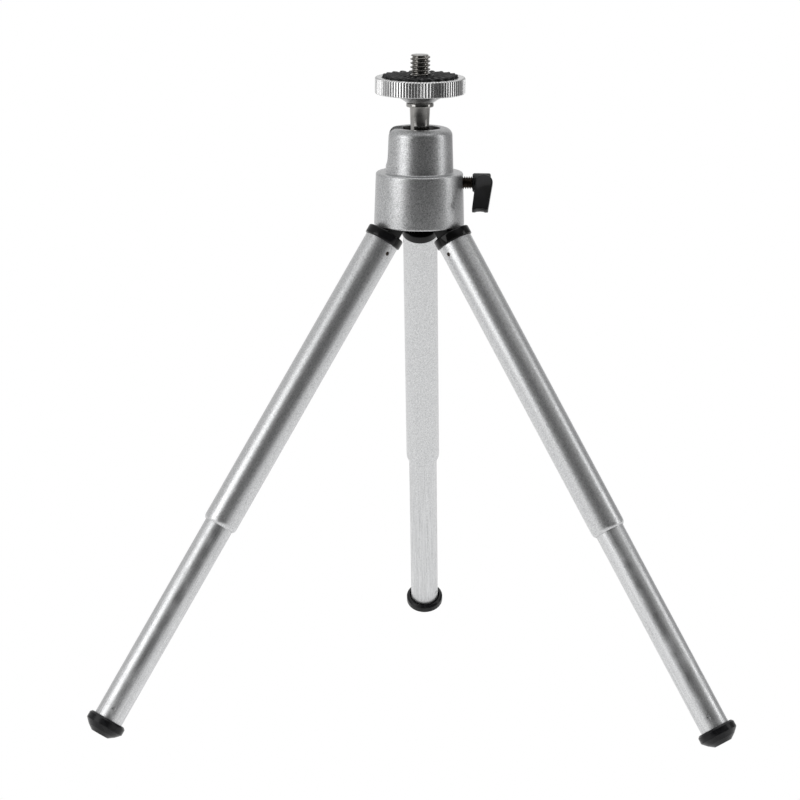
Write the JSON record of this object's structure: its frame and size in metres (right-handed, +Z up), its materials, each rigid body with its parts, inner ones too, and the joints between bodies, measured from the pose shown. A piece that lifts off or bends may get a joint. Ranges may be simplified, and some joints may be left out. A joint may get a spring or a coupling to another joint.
{
  "type": "tabletop tripod",
  "caption": "Pocket tabletop tripod with folding telescopic legs, a ball head with a thumb clamp, and a knurled platform with a quarter-inch camera screw.",
  "frame": {"origin": "on the ground, under the middle of the bounding box; the head axis stands 26.9 mm towards -Y from it", "axes": "+Z up, +Y towards the rear leg, +X towards the thumb screw; the slot in the collar faces -X"},
  "size_m": [0.2022, 0.1768, 0.2086],
  "materials": {
    "casting_paint": "silver metallic paint with a fine sand-like grain",
    "tube_paint": "satin silver metallic paint",
    "bare_aluminium": "bare drawn tube with fine lengthwise scratches",
    "machined_aluminium": "bright machined",
    "bright_steel": "polished, nickel plated",
    "zinc_steel": "zinc plated",
    "dark_nickel": "dark nickel plated, shiny",
    "black_oxide": "black oxide, slightly brown",
    "black_plastic": "semi-gloss moulded",
    "black_rubber": "satin",
    "brass": "turned",
    "nylon": "natural moulded"
  },
  "bodies": {
    "head": {"head_casting": "casting_paint", "leg_hub": "black_plastic", "hub_screw_1": "zinc_steel", "hub_screw_2": "zinc_steel", "hub_screw_3": "zinc_steel", "pivot_pin_rear": "zinc_steel", "pivot_pin_left": "zinc_steel", "pivot_pin_right": "zinc_steel"},
    "ball_seat": {"ball_seat": "nylon"},
    "clamp_tip": {"clamp_tip": "brass"},
    "clamp": {"clamp_screw": "black_oxide", "clamp_knob": "black_plastic"},
    "ball": {"ball": "bright_steel"},
    "stem": {"stem": "bright_steel", "camera_screw": "dark_nickel"},
    "wheel_hub": {"wheel_hub": "machined_aluminium"},
    "wheel": {"lock_wheel": "machined_aluminium", "wheel_pad": "black_rubber"},
    "leg_rear": {"leg_cap_rear": "black_plastic", "upper_tube_rear": "tube_paint", "cap_pin_rear_a": "black_oxide", "cap_pin_rear_b": "black_oxide"},
    "lower_rear": {"lower_tube_rear": "bare_aluminium", "tube_plug_rear": "nylon", "friction_sleeve_rear": "brass", "foot_rear": "black_rubber"},
    "leg_left": {"leg_cap_left": "black_plastic", "upper_tube_left": "tube_paint", "cap_pin_left_a": "black_oxide", "cap_pin_left_b": "black_oxide"},
    "lower_left": {"lower_tube_left": "bare_aluminium", "tube_plug_left": "nylon", "friction_sleeve_left": "brass", "foot_left": "black_rubber"},
    "leg_right": {"leg_cap_right": "black_plastic", "upper_tube_right": "tube_paint", "cap_pin_right_a": "black_oxide", "cap_pin_right_b": "black_oxide"},
    "lower_right": {"lower_tube_right": "bare_aluminium", "tube_plug_right": "nylon", "friction_sleeve_right": "brass", "foot_right": "black_rubber"}
  },
  "joints": [
    {"name": "leg_fold_rear", "type": "hinge", "parent": "head", "child": "leg_rear", "pos_m": [0, -0.01962, 0.15883], "axis": [-1, 0, 0], "range_deg": [0, 33.6]},
    {"name": "leg_slide_rear", "type": "slide", "parent": "leg_rear", "child": "lower_rear", "axis": [0, -0.5534, 0.8329], "range_m": [0, 0.069]},
    {"name": "leg_fold_left", "type": "hinge", "parent": "head", "child": "leg_left", "pos_m": [-0.00658, -0.03102, 0.15883], "axis": [0.5, -0.866, 0], "range_deg": [0, 33.6]},
    {"name": "leg_slide_left", "type": "slide", "parent": "leg_left", "child": "lower_left", "axis": [0.4793, 0.2767, 0.8329], "range_m": [0, 0.069]},
    {"name": "leg_fold_right", "type": "hinge", "parent": "head", "child": "leg_right", "pos_m": [0.00658, -0.03102, 0.15883], "axis": [0.5, 0.866, 0], "range_deg": [0, 33.6]},
    {"name": "leg_slide_right", "type": "slide", "parent": "leg_right", "child": "lower_right", "axis": [-0.4793, 0.2767, 0.8329], "range_m": [0, 0.069]},
    {"name": "ball_tilt", "type": "hinge", "parent": "head", "child": "ball", "pos_m": [0, -0.02722, 0.1768], "axis": [0, -1, 0], "range_deg": [-20, 90]},
    {"name": "stem_spin", "type": "hinge", "parent": "ball", "child": "stem", "pos_m": [0, -0.02722, 0.1768], "axis": [0, 0, 1], "continuous": true},
    {"name": "wheel_rise", "type": "slide", "parent": "stem", "child": "wheel_hub", "axis": [0, 0, 1], "range_m": [0, 0.00256]},
    {"name": "wheel_turn", "type": "hinge", "parent": "wheel_hub", "child": "wheel", "pos_m": [0, -0.02722, 0.1985], "axis": [0, 0, 1], "range_deg": [0, 720]},
    {"name": "clamp_advance", "type": "slide", "parent": "head", "child": "clamp_tip", "axis": [1, 0, 0], "range_m": [0, 0.00071]},
    {"name": "clamp_turn", "type": "hinge", "parent": "clamp_tip", "child": "clamp", "pos_m": [0.0168, -0.02722, 0.1681], "axis": [1, 0, 0], "range_deg": [0, 360]},
    {"name": "seat_drop", "type": "slide", "parent": "head", "child": "ball_seat", "axis": [0, 0, 1], "range_m": [-0.00036, 0]}
  ],
  "couplings": [
    {"joint": "wheel_rise", "follows": "wheel_turn", "m_per_rad": 0.00020213},
    {"joint": "clamp_advance", "follows": "clamp_turn", "m_per_rad": 0.00011141},
    {"joint": "seat_drop", "follows": "clamp_turn", "m_per_rad": -0.000055704}
  ]
}
